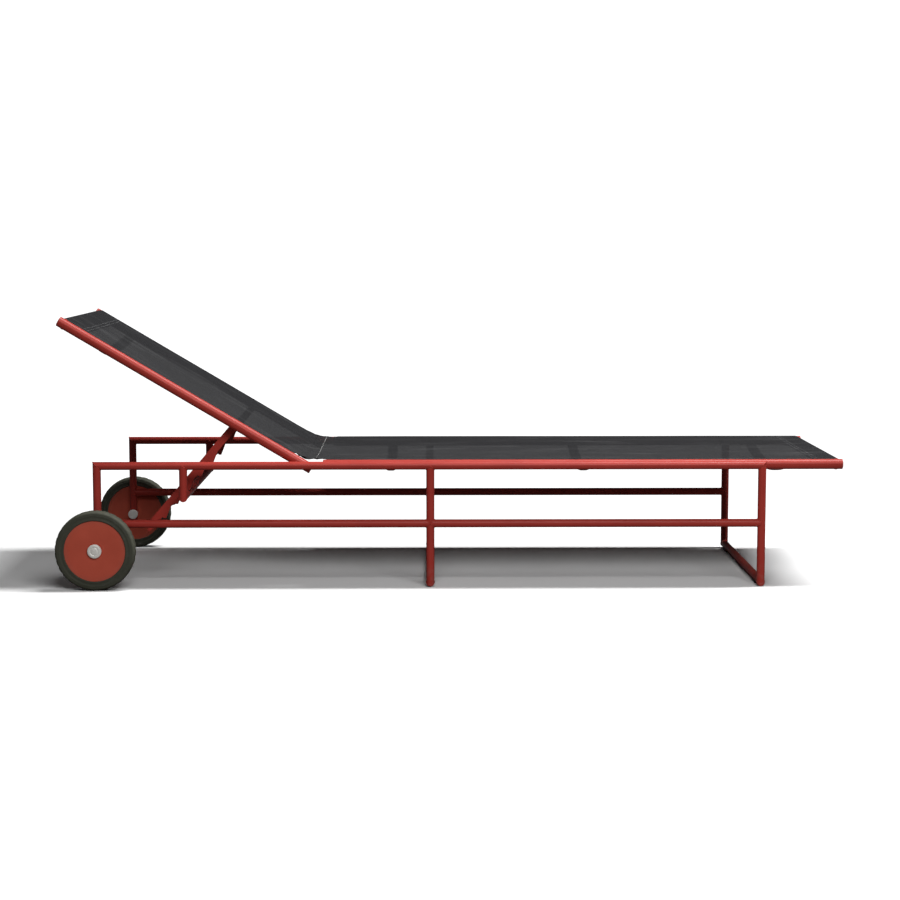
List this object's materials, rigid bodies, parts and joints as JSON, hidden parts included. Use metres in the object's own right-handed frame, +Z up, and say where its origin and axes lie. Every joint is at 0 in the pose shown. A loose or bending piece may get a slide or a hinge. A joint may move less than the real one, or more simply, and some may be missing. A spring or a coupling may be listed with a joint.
{
  "type": "reclining sun lounger",
  "caption": "Low reclining sun lounger on a round-tube frame, with a mesh sling, a raised back on a toothed strut, sled legs and transport wheels at the head end",
  "frame": {"origin": "on the floor, midway along and across the lounger as it stands with its back at the third notch", "axes": "+Z up; +X from the wheels at the head end to the foot end; +Y to the left of a person lying on it"},
  "size_m": [1.9314, 0.744, 0.6633],
  "materials": {
    "frame_red": "satin powder coat",
    "spreader_red": "satin powder coat",
    "wheel_red": "fine matt",
    "red_plastic": "fine matt",
    "sling_mesh": "woven PVC-coated mesh",
    "keder": "smooth",
    "tyre": "matt rubber",
    "black_plastic": "fine matt",
    "silver_cap": "satin silver",
    "steel": "satin zinc"
  },
  "bodies": {
    "base": {"axle_inner_cap_left": "silver_cap", "axle_inner_cap_right": "silver_cap", "axle_left": "steel", "axle_right": "steel", "axle_spacer_left": "steel", "axle_spacer_right": "steel", "floor_glides": "black_plastic", "front_floor_bar": "frame_red", "front_leg_left": "frame_red", "front_leg_right": "frame_red", "head_post_left": "frame_red", "head_post_plug_left": "black_plastic", "head_post_plug_right": "black_plastic", "head_post_right": "frame_red", "lower_rail_foot_left": "frame_red", "lower_rail_foot_right": "frame_red", "lower_rail_head_left": "frame_red", "lower_rail_head_right": "frame_red", "mid_floor_bar": "frame_red", "mid_leg_left": "frame_red", "mid_leg_right": "frame_red", "rail_pivot_bushes": "black_plastic", "ratchet_bar": "frame_red", "ratchet_post_left": "frame_red", "ratchet_post_right": "frame_red", "seat_foot_bar": "frame_red", "seat_keder_rods": "keder", "seat_sling": "sling_mesh", "seat_spreader_1": "spreader_red", "seat_spreader_2": "spreader_red", "seat_spreader_3": "spreader_red", "seat_tube_left": "frame_red", "seat_tube_plugs": "red_plastic", "seat_tube_right": "frame_red", "top_rail_left": "frame_red", "top_rail_right": "frame_red"},
    "backrest_pins": {"backrest_pivot_pins": "steel"},
    "backrest": {"back_head_bar": "frame_red", "back_keder_rods": "keder", "back_pivot_bushes": "black_plastic", "back_sling": "sling_mesh", "back_spreader": "spreader_red", "back_tube_left": "frame_red", "back_tube_plugs": "red_plastic", "back_tube_right": "frame_red", "strut_rod_washers": "black_plastic"},
    "strut_rod": {"strut_pivot_rod": "frame_red", "strut_rod_collars": "frame_red"},
    "strut": {"strut_bar_left": "frame_red", "strut_bar_right": "frame_red", "strut_tie": "frame_red"},
    "wheel_left": {"wheel_disc_left": "wheel_red", "wheel_bush_left": "black_plastic", "tyre_left": "tyre", "hub_cap_left": "silver_cap"},
    "wheel_right": {"wheel_disc_right": "wheel_red", "wheel_bush_right": "black_plastic", "tyre_right": "tyre", "hub_cap_right": "silver_cap"}
  },
  "joints": [
    {"name": "backrest_lower", "type": "hinge", "parent": "base", "child": "backrest_pins", "pos_m": [-0.36285, 0, 0.3], "axis": [0, 1, 0], "range_deg": [-30.65, 0]},
    {"name": "backrest_raise", "type": "hinge", "parent": "backrest_pins", "child": "backrest", "pos_m": [-0.36285, 0, 0.3], "axis": [0, 1, 0], "range_deg": [0, 27.35]},
    {"name": "strut_rod_turn", "type": "hinge", "parent": "backrest", "child": "strut_rod", "pos_m": [-0.53035, 0, 0.39926], "axis": [0, 1, 0], "range_deg": [0, 76.62]},
    {"name": "strut_swing", "type": "hinge", "parent": "strut_rod", "child": "strut", "pos_m": [-0.53035, 0, 0.39926], "axis": [0, 1, 0], "range_deg": [-20.52, 0]},
    {"name": "wheel_left_spin", "type": "hinge", "parent": "base", "child": "wheel_left", "pos_m": [-0.86825, 0.35, 0.0975], "axis": [0, 1, 0], "continuous": true},
    {"name": "wheel_right_spin", "type": "hinge", "parent": "base", "child": "wheel_right", "pos_m": [-0.86825, -0.35, 0.0975], "axis": [0, 1, 0], "continuous": true}
  ],
  "couplings": [
    {"joint": "strut_rod_turn", "follows": "backrest_lower", "ratio": -2.5},
    {"joint": "strut_swing", "follows": "backrest_raise", "ratio": -0.75}
  ]
}
